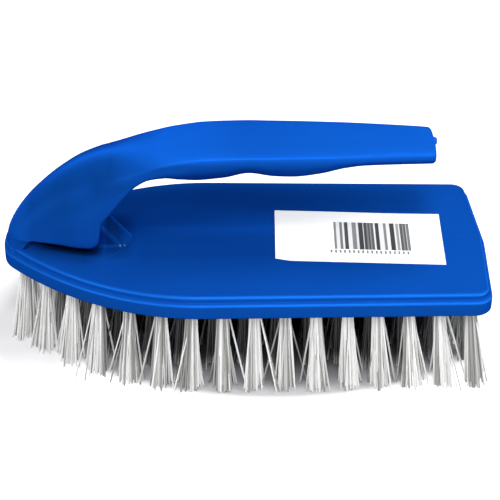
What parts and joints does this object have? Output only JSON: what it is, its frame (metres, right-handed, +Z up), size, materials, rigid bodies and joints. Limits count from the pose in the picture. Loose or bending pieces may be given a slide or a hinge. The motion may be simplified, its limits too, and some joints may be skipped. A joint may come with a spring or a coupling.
{
  "type": "hand scrubbing brush",
  "caption": "Boat-shaped scrubbing brush: one-piece moulded block with an iron-style handle free at its rear end, tufted underside and a paper label.",
  "frame": {"origin": "on the floor, under the middle of the bounding box; the brush stands on its bristle tips", "axes": "+X from the nose towards the square heel, +Y across the block, +Z up from the bristle tips to the grip"},
  "size_m": [0.1624, 0.0772, 0.075],
  "materials": {
    "blue_polypropylene": "satin, as moulded",
    "bristle_filament": "drawn filament, cut ends",
    "label_paper": "coated white, printed"
  },
  "bodies": {
    "root": {"body": "blue_polypropylene", "paper_label": "label_paper", "tuft_01": "bristle_filament", "tuft_02": "bristle_filament", "tuft_03": "bristle_filament", "tuft_04": "bristle_filament", "tuft_05": "bristle_filament", "tuft_06": "bristle_filament", "tuft_07": "bristle_filament", "tuft_08": "bristle_filament", "tuft_09": "bristle_filament", "tuft_10": "bristle_filament", "tuft_11": "bristle_filament", "tuft_12": "bristle_filament", "tuft_13": "bristle_filament", "tuft_14": "bristle_filament", "tuft_15": "bristle_filament", "tuft_16": "bristle_filament", "tuft_17": "bristle_filament", "tuft_18": "bristle_filament", "tuft_19": "bristle_filament", "tuft_20": "bristle_filament", "tuft_21": "bristle_filament", "tuft_22": "bristle_filament", "tuft_23": "bristle_filament", "tuft_24": "bristle_filament", "tuft_25": "bristle_filament", "tuft_26": "bristle_filament", "tuft_27": "bristle_filament", "tuft_28": "bristle_filament", "tuft_29": "bristle_filament", "tuft_30": "bristle_filament", "tuft_31": "bristle_filament", "tuft_32": "bristle_filament", "tuft_33": "bristle_filament", "tuft_34": "bristle_filament", "tuft_35": "bristle_filament", "tuft_36": "bristle_filament", "tuft_37": "bristle_filament", "tuft_38": "bristle_filament", "tuft_39": "bristle_filament", "tuft_40": "bristle_filament", "tuft_41": "bristle_filament", "tuft_42": "bristle_filament", "tuft_43": "bristle_filament", "tuft_44": "bristle_filament", "tuft_45": "bristle_filament", "tuft_46": "bristle_filament", "tuft_47": "bristle_filament", "tuft_48": "bristle_filament", "tuft_49": "bristle_filament", "tuft_50": "bristle_filament", "tuft_51": "bristle_filament", "tuft_52": "bristle_filament", "tuft_53": "bristle_filament", "tuft_54": "bristle_filament", "tuft_55": "bristle_filament", "tuft_56": "bristle_filament", "tuft_57": "bristle_filament", "tuft_58": "bristle_filament"}
  },
  "joints": []
}
